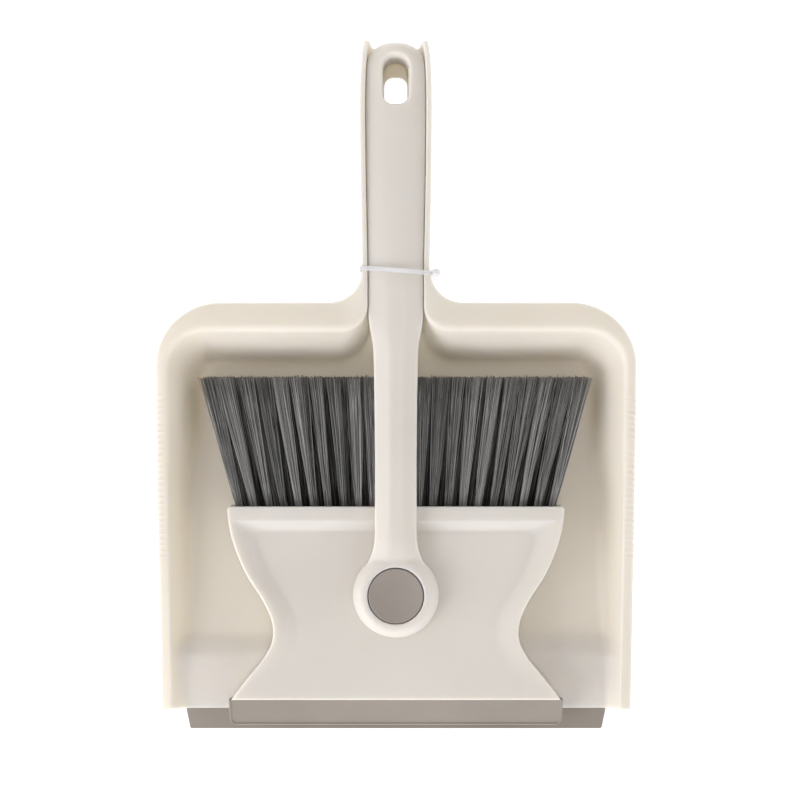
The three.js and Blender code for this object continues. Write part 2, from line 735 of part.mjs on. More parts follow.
const brushHead = new THREE.Group();
brushHead.add(
  named("head_front_shell", makeHeadFrontShell(), creamPlastic),
  named("head_back_cover", makeHeadBackCover(), creamPlastic),
  named("squeegee_blade", makeSqueegeeBlade(), taupeRubber),
  named("tuft_block", makeTuftBlock(), creamPlastic),
  named("detent_spring", makeDetentSpring(), steel),
);
for (let row = 0; row < BRISTLES.rows; row++) {
  brushHead.add(named(`bristle_row_${row + 1}`, makeBristleRow(row), greyBristle));
}
SCREW_PLACES.forEach(([x, y], i) => {
  const screw = named(`head_screw_${i + 1}`, makeHeadScrew(), steel);
  screw.position.set(x, y, 0);
  brushHead.add(screw);
});

const brush = new THREE.Group();
brush.position.y = HUB_Y;
brush.add(brushHandle, brushHead);

const dustPanAndBrush = new THREE.Group();
dustPanAndBrush.add(pan, brush);

export default dustPanAndBrush;
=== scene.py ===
"""Looks for the dust pan and brush set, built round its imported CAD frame.

Shapes are worked out in millimetres in the frame's own axes, and turned into metres as each mesh
is made.
"""
import json
import math

import bmesh
import bpy
import numpy as np
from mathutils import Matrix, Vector


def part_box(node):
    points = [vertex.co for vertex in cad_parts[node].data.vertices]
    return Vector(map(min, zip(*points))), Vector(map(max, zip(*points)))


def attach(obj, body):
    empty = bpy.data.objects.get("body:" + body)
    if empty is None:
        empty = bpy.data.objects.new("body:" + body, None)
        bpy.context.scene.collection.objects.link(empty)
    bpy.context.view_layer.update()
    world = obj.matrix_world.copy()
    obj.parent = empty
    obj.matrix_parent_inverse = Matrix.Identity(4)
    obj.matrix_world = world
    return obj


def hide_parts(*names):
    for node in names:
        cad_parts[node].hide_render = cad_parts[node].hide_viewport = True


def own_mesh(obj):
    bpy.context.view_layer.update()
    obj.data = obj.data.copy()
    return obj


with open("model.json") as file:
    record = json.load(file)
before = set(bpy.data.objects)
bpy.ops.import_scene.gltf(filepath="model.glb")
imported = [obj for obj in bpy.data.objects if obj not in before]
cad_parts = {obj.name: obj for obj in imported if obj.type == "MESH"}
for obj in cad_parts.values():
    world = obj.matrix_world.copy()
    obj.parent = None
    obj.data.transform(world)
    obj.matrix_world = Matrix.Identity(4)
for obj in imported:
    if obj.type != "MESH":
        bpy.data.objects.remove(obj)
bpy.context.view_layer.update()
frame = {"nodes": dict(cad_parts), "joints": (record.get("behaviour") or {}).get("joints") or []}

MM = 0.001


def box_mm(node):
    low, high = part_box(node)
    return np.array(low) / MM, np.array(high) / MM


def joint(name):
    return next(j for j in frame["joints"] if j["name"] == name)


# ---------------------------------------------------------------- sizes taken from the frame

tray_low, tray_high = box_mm("pan_tray")
lip_low, lip_high = box_mm("pan_lip")
shell_low, shell_high = box_mm("head_front_shell")
blade_low, blade_high = box_mm("squeegee_blade")
block_low, block_high = box_mm("tuft_block")
button_low, button_high = box_mm("swivel_button")
tie_low, tie_high = box_mm("handle_tie")

FRONT = tray_low[1]
HANDLE_END = tray_high[1]
RIB_PROUD = 0.3
FLANGE_HALF = tray_high[0] - RIB_PROUD
HUB = np.array(joint("head_swivel")["pos_m"]) / MM

# ---------------------------------------------------------------- shape details

FLOOR_TOP = 2.5
# the lines round the tray: rim's crease, flange's edge and wall's foot, with their rear corners
CREASE = {"half": 120, "rear": 32.9, "corner": 21}
FLANGE = {"rear": 46.8, "corner": 34, "side_drop": 0.7, "rear_drop": 3.4}
FOOT = {"rear": 16.2, "corner": 9.5, "lean": 13, "sweep": 3.5}
SWEEP_FROM, SWEEP_OVER = -60, 45
RIM_HEIGHT, RIM_AT, RIM_BEND = 40, 33, 20
FRONT_SLOPE, HANDLE_SLOPE = 0.148, 0.0744
# y and half width of the pan's handle
HANDLE_HALVES = [(64, 17.5), (112, 18.4), (150, 18.7), (171, 18), (HANDLE_END, 16.5)]
CHANNEL_WALL, CHANNEL_DRAFT = 2.8, 1.6
OUTER_FILLET, CREASE_FILLET, FOOT_FILLET = 17.5, 12.5, 20
CHANNEL_FLOOR = {"at": 50, "height": 18, "slope": 0.0611}
RAMP_FOOT, RAMP_CREST, CREST_TOP, FRONT_TOP, RAMP_BULGE = -128, -142, 7, 3.5, 1.6
WALL_THICK, FLANGE_THICK, HALF_LEAN_RIM = 2.4, 1.9, 10
LIP_SEAT = (-162.7, 1.9)
# width, both ends along y, and the corner radius at each end
PAN_SLOT = (12, 147.8, 165.8, 4.6, 4.6)
RIB_FROM, RIB_TO, RIB_COUNT, RIB_HEIGHT = -87.1, -1.9, 27, 0.3
LIP_DOWNTURN = 3.2

# ---------------------------------------------------------------- helpers


def smooth(t):
    t = np.clip(t, 0, 1)
    return t * t * (3 - 2 * t)


def mix(a, b, t):
    return a + (b - a) * t


def curve_through(points, count):
    """Points along a Catmull-Rom curve through the given corners."""
    p = np.array(points, float)
    p = np.vstack([2 * p[0] - p[1], p, 2 * p[-1] - p[-2]])
    out = []
    for s in np.linspace(0, len(p) - 3, count):
        i = min(int(s), len(p) - 4)
        t = s - i
        a, b, c, d = p[i : i + 4]
        out.append(0.5 * (2 * b + (c - a) * t + (2 * a - 5 * b + 4 * c - d) * t**2
                          + (3 * b - a - 3 * c + d) * t**3))
    return np.array(out)


def rounded(corners, radii, steps):
    """A polyline whose inner corners are rounded off, always with the same number of points."""
    pts = [corners[0]]
    for a, b, c, r in zip(corners[:-2], corners[1:-1], corners[2:], radii):
        before, after = a - b, c - b
        la, lc = np.linalg.norm(before), np.linalg.norm(after)
        cut = min(r, 0.48 * la, 0.48 * lc)
        start, end = b + before * cut / la, b + after * cut / lc
        for t in np.linspace(0, 1, steps):
            pts.append((1 - t) ** 2 * start + 2 * t * (1 - t) * b + t * t * end)
    pts.append(corners[-1])
    return pts


def new_object(name, data):
    obj = bpy.data.objects.new(name, data)
    bpy.context.scene.collection.objects.link(obj)
    return obj


def mesh_object(name, points, faces, sharp_degrees=35):
    """An object from points in millimetres, with its faces turned outward."""
    mesh = bpy.data.meshes.new(name)
    mesh.from_pydata([tuple(float(c) * MM for c in p) for p in points], [], faces)
    obj = new_object(name, mesh)
    work = bmesh.new()
    work.from_mesh(mesh)
    bmesh.ops.remove_doubles(work, verts=work.verts, dist=1e-6)
    bmesh.ops.recalc_face_normals(work, faces=work.faces)
    work.to_mesh(mesh)
    work.free()
    shade(obj, sharp_degrees)
    return obj


def shade(obj, sharp_degrees=35):
    obj.data.polygons.foreach_set("use_smooth", [True] * len(obj.data.polygons))
    obj.data.set_sharp_from_angle(angle=math.radians(sharp_degrees))


def apply_modifiers(obj):
    graph = bpy.context.evaluated_depsgraph_get()
    made = bpy.data.meshes.new_from_object(obj.evaluated_get(graph))
    obj.modifiers.clear()
    obj.data = made


def carve(obj, cutters, operation="DIFFERENCE"):
    """Joins or cuts whole solids, then throws the tools away."""
    for cutter in cutters:
        step = obj.modifiers.new("carve", "BOOLEAN")
        step.operation = operation
        step.solver = "EXACT"
        step.object = cutter
    apply_modifiers(obj)
    for cutter in cutters:
        bpy.data.objects.remove(cutter)


def soften(obj, width, segments):
    step = obj.modifiers.new("soften", "BEVEL")
    step.width = width * MM
    step.segments = segments
    step.limit_method = "ANGLE"
    step.angle_limit = math.radians(35)
    step.harden_normals = False
    apply_modifiers(obj)


def skin(rings):
    """All points of rings of equally many points, and the faces from each ring to the next."""
    count = len(rings[0])
    points = [p for ring in rings for p in ring]
    faces = []
    for r in range(len(rings) - 1):
        for i in range(count):
            a, b = r * count + i, r * count + (i + 1) % count
            faces.append((a, b, b + count, a + count))
    return points, faces


def loft(name, rings, sharp_degrees=35):
    """A skin through rings, closed by one face at each end."""
    points, faces = skin(rings)
    count = len(rings[0])
    faces.append(tuple(reversed(range(count))))
    faces.append(tuple(range(len(points) - count, len(points))))
    return mesh_object(name, points, faces, sharp_degrees)


def strip_loft(name, rings, side_count):
    """A skin through long rings that mirror left to right. Each end is closed by cross faces along
    the side_count points of the two sides, and by one face over the rest."""
    points, faces = skin(rings)
    n = len(rings[0])
    for base in (0, (len(rings) - 1) * n):
        for i in range(side_count - 1):
            faces.append((base + i, base + i + 1, base + n - 2 - i, base + n - 1 - i))
        faces.append(tuple(base + i for i in range(side_count - 1, n - side_count + 1)))
    return mesh_object(name, points, faces, 40)


def turned(name, corners, sides, sharp_degrees=35):
    """A solid turned round the hub's upright axis from (radius, z) corners, with flat ends."""
    rings = []
    for r, z in corners:
        angles = [2 * math.pi * k / sides for k in range(sides)]
        rings.append([(HUB[0] + r * math.cos(a), HUB[1] + r * math.sin(a), z) for a in angles])
    return loft(name, rings, sharp_degrees)


def block(name, low, high):
    x0, y0, z0 = low
    x1, y1, z1 = high
    ring = lambda z: [(x0, y0, z), (x1, y0, z), (x1, y1, z), (x0, y1, z)]
    return loft(name, [ring(z0), ring(z1)])


def slot_ring(slot, z, grow=0.0):
    """An upright slot's outline along y, with a corner radius for each end."""
    width, y0, y1, low_corner, high_corner = slot
    half, steps = width / 2, 8
    ring = []
    for quarter, side, end, corner in ((0, 1, y1, high_corner), (1, -1, y1, high_corner),
                                       (2, -1, y0, low_corner), (3, 1, y0, low_corner)):
        centre_x = side * (half - corner)
        centre_y = end - corner if quarter < 2 else end + corner
        for k in range(steps + 1):
            a = math.pi / 2 * (quarter + k / steps)
            reach = corner + grow
            ring.append((centre_x + reach * math.cos(a), centre_y + reach * math.sin(a), z))
    return ring


# ---------------------------------------------------------------- materials


def new_material(name):
    material = bpy.data.materials.new(name)
    material.use_nodes = True
    nodes, links = material.node_tree.nodes, material.node_tree.links
    return material, nodes, links, nodes["Principled BSDF"]


def noise(nodes, links, coordinates, scale, detail, roughness=0.5):
    texture = nodes.new("ShaderNodeTexNoise")
    texture.inputs["Scale"].default_value = scale
    texture.inputs["Detail"].default_value = detail
    texture.inputs["Roughness"].default_value = roughness
    links.new(coordinates.outputs["Object"], texture.inputs["Vector"])
    return texture


def ramp(nodes, links, source, low, high, positions=(0.3, 0.7)):
    step = nodes.new("ShaderNodeValToRGB")
    step.color_ramp.elements[0].position = positions[0]
    step.color_ramp.elements[1].position = positions[1]
    step.color_ramp.elements[0].color = (*low, 1)
    step.color_ramp.elements[1].color = (*high, 1)
    links.new(source, step.inputs["Fac"])
    return step


def value_range(nodes, links, source, low, high):
    step = nodes.new("ShaderNodeMapRange")
    step.inputs["To Min"].default_value = low
    step.inputs["To Max"].default_value = high
    links.new(source, step.inputs["Value"])
    return step


def moulded(name, low, high, roughness, grain, bump, specular=0.45, subsurface=0.0):
    """Moulded plastic or rubber: cloudy colour, fine spark-eroded grain, uneven gloss."""
    material, nodes, links, shader = new_material(name)
    coordinates = nodes.new("ShaderNodeTexCoord")
    cloud = noise(nodes, links, coordinates, 22, 4)
    colour = ramp(nodes, links, cloud.outputs["Fac"], low, high)
    links.new(colour.outputs["Color"], shader.inputs["Base Color"])
    smear = noise(nodes, links, coordinates, 70, 5, 0.6)
    gloss = value_range(nodes, links, smear.outputs["Fac"], roughness - 0.07, roughness + 0.07)
    links.new(gloss.outputs["Result"], shader.inputs["Roughness"])
    fine = noise(nodes, links, coordinates, grain, 2)
    relief = nodes.new("ShaderNodeBump")
    relief.inputs["Strength"].default_value = bump
    relief.inputs["Distance"].default_value = 0.0001
    links.new(fine.outputs["Fac"], relief.inputs["Height"])
    links.new(relief.outputs["Normal"], shader.inputs["Normal"])
    shader.inputs["Specular IOR Level"].default_value = specular
    if subsurface:
        shader.inputs["Subsurface Weight"].default_value = subsurface
        shader.inputs["Subsurface Radius"].default_value = (1.0, 0.95, 0.75)
        shader.inputs["Subsurface Scale"].default_value = 0.0045
    return material


def bristle_material():
    """Each filament carries its own grey, which also holds painted shade at the roots and on the lower
    rows.
    """
    material, nodes, links, shader = new_material("grey_bristle")
    tone_and_painted_shade = nodes.new("ShaderNodeAttribute")
    tone_and_painted_shade.attribute_name = "shade"
    coordinates = nodes.new("ShaderNodeTexCoord")
    fine = noise(nodes, links, coordinates, 900, 2)
    darkest, palest = (0.02, 0.019, 0.017), (0.56, 0.54, 0.49)
    colour = ramp(nodes, links, tone_and_painted_shade.outputs["Fac"], darkest, palest, (0.0, 1.0))
    fleck = ramp(nodes, links, fine.outputs["Fac"], (0.85, 0.85, 0.85), (1.0, 1.0, 1.0))
    blend = nodes.new("ShaderNodeMix")
    blend.data_type = "RGBA"
    blend.blend_type = "MULTIPLY"
    blend.inputs["Factor"].default_value = 1.0
    links.new(colour.outputs["Color"], blend.inputs["A"])
    links.new(fleck.outputs["Color"], blend.inputs["B"])
    links.new(blend.outputs["Result"], shader.inputs["Base Color"])
    shader.inputs["Roughness"].default_value = 0.42
    shader.inputs["Specular IOR Level"].default_value = 0.5
    return material


def steel_material():
    material, nodes, links, shader = new_material("zinc_steel")
    coordinates = nodes.new("ShaderNodeTexCoord")
    spangle = noise(nodes, links, coordinates, 260, 3)
    colour = ramp(nodes, links, spangle.outputs["Fac"], (0.5, 0.5, 0.51), (0.68, 0.68, 0.67))
    gloss = value_range(nodes, links, spangle.outputs["Fac"], 0.25, 0.42)
    links.new(colour.outputs["Color"], shader.inputs["Base Color"])
    links.new(gloss.outputs["Result"], shader.inputs["Roughness"])
    shader.inputs["Metallic"].default_value = 1.0
    return material


def clear_material():
    material, nodes, links, shader = new_material("clear_nylon")
    coordinates = nodes.new("ShaderNodeTexCoord")
    haze = noise(nodes, links, coordinates, 180, 3)
    gloss = value_range(nodes, links, haze.outputs["Fac"], 0.22, 0.42)
    tint = ramp(nodes, links, haze.outputs["Fac"], (0.92, 0.9, 0.86), (0.97, 0.955, 0.93))
    links.new(gloss.outputs["Result"], shader.inputs["Roughness"])
    links.new(tint.outputs["Color"], shader.inputs["Base Color"])
    shader.inputs["Transmission Weight"].default_value = 0.5
    shader.inputs["IOR"].default_value = 1.46
    return material


CREAM = moulded("cream_plastic", (0.706, 0.657, 0.574), (0.731, 0.684, 0.6),
                roughness=0.42, grain=2600, bump=0.12, subsurface=0.95)
TAUPE_RUBBER = moulded("taupe_rubber", (0.275, 0.237, 0.19), (0.302, 0.261, 0.212),
                       roughness=0.6, grain=1900, bump=0.22, specular=0.3)
TAUPE_PLASTIC = moulded("taupe_plastic", (0.3, 0.258, 0.213), (0.328, 0.284, 0.236),
                        roughness=0.4, grain=2200, bump=0.12)
BRISTLE = bristle_material()
STEEL = steel_material()
CLEAR = clear_material()


def finish_piece(obj, material, body, node):
    obj.data.materials.clear()
    obj.data.materials.append(material)
    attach(obj, body)
    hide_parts(node)


# ---------------------------------------------------------------- the pan


def rim_height(y):
    front = RIM_HEIGHT + (y - RIM_AT) * FRONT_SLOPE
    back = RIM_HEIGHT + (y - RIM_AT) * HANDLE_SLOPE
    return mix(front, back, smooth((y - RIM_AT + RIM_BEND) / (2 * RIM_BEND)))


def channel_floor(y):
    return CHANNEL_FLOOR["height"] + (y - CHANNEL_FLOOR["at"]) * CHANNEL_FLOOR["slope"]


def floor_height(y):
    """The inside floor along the pan's middle: ramp behind the lip, well, sill, channel."""
    if y < RAMP_CREST:
        t = (y - FRONT) / (RAMP_CREST - FRONT)
        return mix(FRONT_TOP, CREST_TOP, 1 - (1 - t) ** RAMP_BULGE)
    if y < RAMP_FOOT:
        return mix(CREST_TOP, FLOOR_TOP, smooth((y - RAMP_CREST) / (RAMP_FOOT - RAMP_CREST)))
    sill_end = FOOT["rear"] + FOOT_FILLET
    if y <= FOOT["rear"]:
        return FLOOR_TOP
    if y < sill_end:
        t = (y - FOOT["rear"]) / FOOT_FILLET
        return mix(FLOOR_TOP, channel_floor(sill_end), mix(smooth(t), t, 0.5))
    return channel_floor(y)


def underside(y):
    if y < LIP_SEAT[0]:
        return LIP_SEAT[1]
    if y <= FOOT["rear"]:
        return 0.0
    return max(0.0, floor_height(y) - WALL_THICK)


handle_curve = curve_through(HANDLE_HALVES, 60)


def handle_half(y):
    return float(np.interp(y, handle_curve[:, 0], handle_curve[:, 1]))


def foot_half(y):
    """Half the width between the feet of the side walls. They lean less where the rim is low, half as
    much where it is only HALF_LEAN_RIM high, and sweep in a little toward the rear."""
    steepness = 0.5 + 0.5 * (rim_height(y) - HALF_LEAN_RIM) / (RIM_HEIGHT - HALF_LEAN_RIM)
    sweep = FOOT["sweep"] * float(smooth((y - SWEEP_FROM) / SWEEP_OVER))
    return CREASE["half"] - FOOT["lean"] * min(1.0, steepness) - sweep


def arc_point(centre, radius, degrees):
    a = math.radians(degrees)
    return np.array([centre[0] + radius * math.cos(a), centre[1] + radius * math.sin(a)])


def quarter_arc(edge_x, edge_y, radius, degrees):
    """A point of the round corner that meets x = edge_x and y = edge_y."""
    return arc_point((edge_x - radius, edge_y - radius), radius, degrees)


def pan_stations():
    """Right half of the pan from the front corner round to the handle's end. Each station holds the
    outer edge, the rim's crease and the wall's foot, the way in, and how much the flange drops."""
    arc_steps, straight_steps, handle_steps = 18, 12, 36
    stations = []

    def add(outer, crease, foot, inward, drop, rib=0.0, handle=0.0):
        stations.append({"outer": np.array(outer, float), "crease": np.array(crease, float),
                         "foot": np.array(foot, float), "inward": np.array(inward, float),
                         "drop": drop, "rib": rib, "handle": handle})

    # along the side the stations stand closer together at the lip, on the ramp and on the ribs
    pitch = (RIB_TO - RIB_FROM) / RIB_COUNT
    seat_end = LIP_SEAT[0]
    side = [FRONT, FRONT + 0.3, FRONT + 0.9, -166, seat_end - 0.06, seat_end + 0.06, -159, -155, -151]
    side += [*np.linspace(-148, RAMP_FOOT, 21), -126, -120, -112, -104, -97, -91]
    side += list(np.arange(RIB_FROM - pitch / 2, RIB_TO + pitch / 2 + 0.01, pitch / 8))
    side += [2, 4.5]
    for y in side:
        inside = RIB_FROM - pitch / 2 < y < RIB_TO + pitch / 2
        rib = max(0.0, math.cos(2 * math.pi * (y - RIB_FROM) / pitch)) ** 0.6 if inside else 0.0
        add((FLANGE_HALF, y), (CREASE["half"], y), (foot_half(y), y), (-1, 0), FLANGE["side_drop"], rib)
    foot_side = foot_half(FOOT["rear"] - FOOT["corner"])
    for k in range(arc_steps + 1):
        angle, t = 90 * k / arc_steps, k / arc_steps
        outer = quarter_arc(FLANGE_HALF, FLANGE["rear"], FLANGE["corner"], angle)
        crease = quarter_arc(CREASE["half"], CREASE["rear"], CREASE["corner"], angle)
        foot = quarter_arc(foot_side, FOOT["rear"], FOOT["corner"], angle)
        inward = -arc_point((0, 0), 1, angle)
        add(outer, crease, foot, inward, mix(FLANGE["side_drop"], FLANGE["rear_drop"], smooth(t)))
    neck = handle_half(0)
    ends = [(neck + OUTER_FILLET, FLANGE["rear"]),
            (neck - CHANNEL_WALL + CREASE_FILLET, CREASE["rear"]),
            (neck - CHANNEL_WALL - CHANNEL_DRAFT + FOOT_FILLET, FOOT["rear"])]
    last = stations[-1]
    starts = [last["outer"], last["crease"], last["foot"]]
    for k in range(1, straight_steps):
        t = k / straight_steps
        add(*[mix(a, np.array(b), t) for a, b in zip(starts, ends)], (0, -1), FLANGE["rear_drop"])
    radii = (OUTER_FILLET, CREASE_FILLET, FOOT_FILLET)
    centres = [(x, y + r) for (x, y), r in zip(ends, radii)]
    for k in range(arc_steps + 1):
        angle, t = 270 - 90 * k / arc_steps, k / arc_steps
        places = [arc_point(c, r, angle) for c, r in zip(centres, radii)]
        drop = FLANGE["rear_drop"] * (1 - smooth(t))
        add(*places, arc_point((0, 0), 1, angle), drop, handle=smooth(t))
    begin = [p[1] for p in (stations[-1]["outer"], stations[-1]["crease"], stations[-1]["foot"])]
    for k in range(1, handle_steps + 1):
        ys = [mix(y, HANDLE_END, k / handle_steps) for y in begin]
        insets = (0, CHANNEL_WALL, CHANNEL_WALL + CHANNEL_DRAFT)
        add(*[(handle_half(y) - inset, y) for y, inset in zip(ys, insets)], (-1, 0), 0, handle=1.0)
    return stations


# two places on the wall: share of the way from crease to foot where the wall is straight, the same
# where the rear wall rolls over, and how far the rolled wall has dropped there
WALL_ROLL = [(0.12, 0.26, 0.21), (0.28, 0.5, 0.45)]
ROLL_FROM, ROLL_OVER = -70, 60
FOOT_REACH, SIDE_REACH, CHANNEL_REACH = 9.2, 13.5, 6.5
SIDE_FROM, SIDE_TO = RAMP_FOOT + 3, -10


def wall_points(crease, foot, top, bottom, roll):
    """Points between crease and foot: on a straight slope (roll = 0) or bulging inward (roll = 1)."""
    points = []
    for straight, rolled, dropped in WALL_ROLL:
        place = mix(crease, foot, mix(straight, rolled, roll))
        points.append(np.array([*place, mix(top, bottom, mix(straight, dropped, roll))]))
    return points


def floor_reach(s):
    """How far in from the wall's foot the rounding into the floor ends: further beside the well."""
    y = s["foot"][1]
    beside = float(smooth((SIDE_TO - y) / 25) * smooth((y - SIDE_FROM) / 15))
    side = mix(FOOT_REACH, SIDE_REACH, beside)
    return mix(side, CHANNEL_REACH, s["handle"])


def upper_profile(s):
    """The pan's upper face at one station, from the outer edge to the floor."""
    end = s["foot"] + s["inward"] * floor_reach(s)
    crest = rim_height(s["crease"][1]) + 0.25 * RIB_HEIGHT * s["rib"]
    base = floor_height(s["foot"][1])
    roll = (1 - s["handle"]) * float(smooth((s["foot"][1] - ROLL_FROM) / ROLL_OVER))
    outer_top = rim_height(s["outer"][1]) - s["drop"] + RIB_HEIGHT * s["rib"]
    outer = s["outer"] - s["inward"] * (RIB_PROUD * s["rib"])
    edge, crease = 1.5, mix(3.6, 1.2, s["handle"])
    foot = mix(12, 6.5, s["handle"])
    return rounded(
        [
            np.array([*outer, outer_top - LIP_DOWNTURN]),
            np.array([*outer, outer_top]),
            np.array([*s["crease"], crest]),
            *wall_points(s["crease"], s["foot"], crest, base, roll),
            np.array([*s["foot"], base]),
            np.array([*end, floor_height(end[1])]),
        ],
        (edge, crease, 4.5, 6.5, foot),
        7,
    )


def lower_profile(s):
    """The pan's underside at one station, with as many points as the upper face."""
    end = s["foot"] + s["inward"] * floor_reach(s)
    outer_top = rim_height(s["outer"][1]) - s["drop"]
    edge_in, crease_out, foot_out = 1.5, mix(0.9, 1.8, s["handle"]), 2.0
    edge = s["outer"] + s["inward"] * edge_in
    crease = s["crease"] - s["inward"] * crease_out
    foot = s["foot"] - s["inward"] * foot_out
    crest, base = rim_height(crease[1]) - WALL_THICK, underside(s["foot"][1])
    return rounded(
        [
            np.array([*edge, outer_top - LIP_DOWNTURN]),
            np.array([*edge, outer_top - FLANGE_THICK]),
            np.array([*crease, crest]),
            *wall_points(crease, foot, crest, base, 0),
            np.array([*foot, base]),
            np.array([*end, underside(end[1])]),
        ],
        (0.5, 1.5, 1.0, 1.0, mix(6.0, 6.5, s["handle"])),
        7,
    )


def make_pan():
    """The tray and its channel handle: an upper and a lower skin, mirrored and sewn together."""
    stations = pan_stations()
    upper = [upper_profile(s) for s in stations]
    lower = [lower_profile(s) for s in stations]
    points, faces = [], []
    width = len(upper[0])
    count = len(stations)

    def grid(profiles, mirrored):
        base = len(points)
        sign = -1 if mirrored else 1
        points.extend((sign * p[0], p[1], p[2]) for profile in profiles for p in profile)
        for i in range(count - 1):
            for k in range(width - 1):
                a = base + i * width + k
                faces.append((a, a + 1, a + width + 1, a + width))
        return lambda i, k: base + i * width + k

    ur, ul = grid(upper, False), grid(upper, True)
    lr, ll = grid(lower, False), grid(lower, True)
    inner = width - 1

    def close_floor(right, left, first, last):
        """Rows across the middle, except for the flat stretch, which is one face."""
        for i in [*range(first), *range(last, count - 1)]:
            faces.append((right(i, inner), right(i + 1, inner), left(i + 1, inner), left(i, inner)))
        ring = [right(i, inner) for i in range(first, last + 1)]
        faces.append(tuple(ring + [left(i, inner) for i in range(last, first - 1, -1)]))

    ys = [profile[-1][1] for profile in upper]
    well_first = next(i for i, y in enumerate(ys) if y >= RAMP_FOOT + 1)
    well_last = max(i for i, y in enumerate(ys) if y <= FOOT["rear"] - 0.5)
    seat_end = next(i for i, y in enumerate(ys) if y > LIP_SEAT[0])
    close_floor(ur, ul, well_first, well_last)
    close_floor(lr, ll, seat_end, well_last)
    for i in range(count - 1):
        faces.append((ur(i, 0), ur(i + 1, 0), lr(i + 1, 0), lr(i, 0)))
        faces.append((ul(i, 0), ul(i + 1, 0), ll(i + 1, 0), ll(i, 0)))
    for i in (0, count - 1):
        for top, bottom in ((ur, lr), (ul, ll)):
            for k in range(inner):
                faces.append((top(i, k), top(i, k + 1), bottom(i, k + 1), bottom(i, k)))
        faces.append((ur(i, inner), ul(i, inner), ll(i, inner), lr(i, inner)))
    pan = mesh_object("pan_body", points, faces, 32)
    carve(pan, [loft("pan_slot", [slot_ring(PAN_SLOT, z) for z in (10, 60)])])
    shade(pan, 32)
    finish_piece(pan, CREAM, "pan", "pan_tray")


def make_lip():
    """The soft strip: a flat root under the pan's edge, then a tapering flap with rounded ends."""
    half, tip_half = lip_high[0], lip_high[0] - 2.3
    tip, root, tip_height = lip_low[1], lip_high[1], 0.9
    corners = [(half, root), (half, FRONT), (tip_half, tip), (tip_half - 3, tip)]
    side = rounded([np.array(p, float) for p in corners], (0.5, 0.9), 8)
    outline = [*side, *[(x, tip) for x in np.linspace(tip_half - 4, 4 - tip_half, 20)],
               *[(-x, y) for x, y in side[::-1]]]

    def ring(height, inset):
        out = []
        for x, y in outline:
            t = np.clip((FRONT - 0.4 - y) / (FRONT - 0.4 - tip), 0, 1)
            z = mix(lip_high[2], tip_height, t) * height
            out.append((x - math.copysign(inset, x), max(y, tip + inset), z))
        return out

    rings = [ring(0.0, 0.35), ring(0.25, 0.0), ring(0.75, 0.0), ring(0.93, 0.12), ring(1.0, 0.4)]
    lip = strip_loft("front_lip", rings, len(side))
    finish_piece(lip, TAUPE_RUBBER, "pan", "pan_lip")


def tie_lock(corner):
    """The tie's lock head with its window, and the strap's tail under it."""
    head = block("tie_head", corner + (0, -2.8, 0), corner + (4.0, 1.0, 4.6))
    soften(head, 1.4, 4)
    tail = block("tie_tail", corner + (0.2, -2.0, -4.2), corner + (1.2, 0.4, 0.6))
    soften(tail, 0.3, 2)
    window = block("tie_window", corner + (1.5, -1.6, 3.9), corner + (2.5, -0.2, 6))
    carve(head, [window])
    return [head, tail]


def make_tie():
    """A thin clear strap pulled round both handles, with its lock head at the right."""
    y = (tie_low[1] + tie_high[1]) / 2 + 0.3
    low, side, top = tie_low[2] + 0.4, -tie_low[0] - 0.4, tie_high[2] - 0.4
    wall = rim_height(y) + 0.9
    under = [(0, low), (9, low), (side - 3.5, low + 1.6), (side - 0.8, low + 7)]
    beside = [(side, wall - 7), (side - 0.1, wall - 1.2), (side - 1.2, wall)]
    over = [(11, top - 0.9), (6, top - 0.1), (0, top)]
    half = curve_through([*under, *beside, *over], 60)
    path = [*half[:-1], *[(-x, z) for x, z in half[::-1][:-1]]]
    n = len(path)
    slant = -0.07
    strap_half, thick = 1.2, 0.7
    section = [(-strap_half, 0), (-strap_half, thick), (strap_half, thick), (strap_half, 0)]
    section = rounded([np.array(p, float) for p in section], (0.25, 0.25), 4)
    rings = []
    for i in range(n):
        (x, z), (xa, za), (xb, zb) = path[i], path[i - 1], path[(i + 1) % n]
        tangent = np.array([xb - xa, zb - za])
        tangent /= np.linalg.norm(tangent)
        out = np.array([tangent[1], -tangent[0]])
        ring = []
        for w, h in section:
            x_out, z_out = out * (h - thick / 2)
            ring.append((x + x_out, y + slant * x + w, z + z_out))
        rings.append(ring)
    count = len(section)
    points = [p for r in rings for p in r]
    faces = []
    for i in range(n):
        here, there = i * count, ((i + 1) % n) * count
        for k in range(count):
            beyond = (k + 1) % count
            faces.append((here + k, there + k, there + beyond, here + beyond))
    strap = mesh_object("tie_strap", points, faces, 40)
    carve(strap, tie_lock(np.array((side + 0.5, y, wall - 5.2))), "UNION")
    shade(strap, 40)
    finish_piece(strap, CLEAR, "pan", "handle_tie")


# ---------------------------------------------------------------- the brush handle

# y from the hub, half width, top, bottom, and how far the top is three flats rather than one dome
GRIP = [
    (15.6, 16.5, 32.2, 28.2, 1),
    (19, 14.6, 33.4, 28, 1),
    (24, 12.6, 35, 28, 1),
    (31, 11.5, 36.2, 28, 1),
    (47, 11.1, 37.3, 28, 1),
    (80, 11.1, 38.7, 28, 1),
    (114, 11.5, 40, 28, 1),
    (130, 11.9, 41.3, 25, 1),
    (150, 12.5, 42.6, 20.3, 0.8),
    (170, 13.1, 44, 20.5, 0.3),
    (190, 13.6, 45.2, 21.6, 0),
    (210, 14, 46.4, 22.7, 0),
    (250, 14.6, 48.9, 25.2, 0),
    (268, 14.4, 50.1, 26.2, 0),
    (277, 13.5, 50.8, 26.9, 0),
    (281.5, 12.3, 50.9, 27.4, 0),
    (284.7, 9.6, 50.3, 28.2, 0),
    (286.6, 6, 49, 30, 0),
    (287.1, 3.6, 47.4, 32, 0),
]
NEST_FROM, NEST_TO, NEST_RISE, NEST_FALL = 128, 286, 20, 12
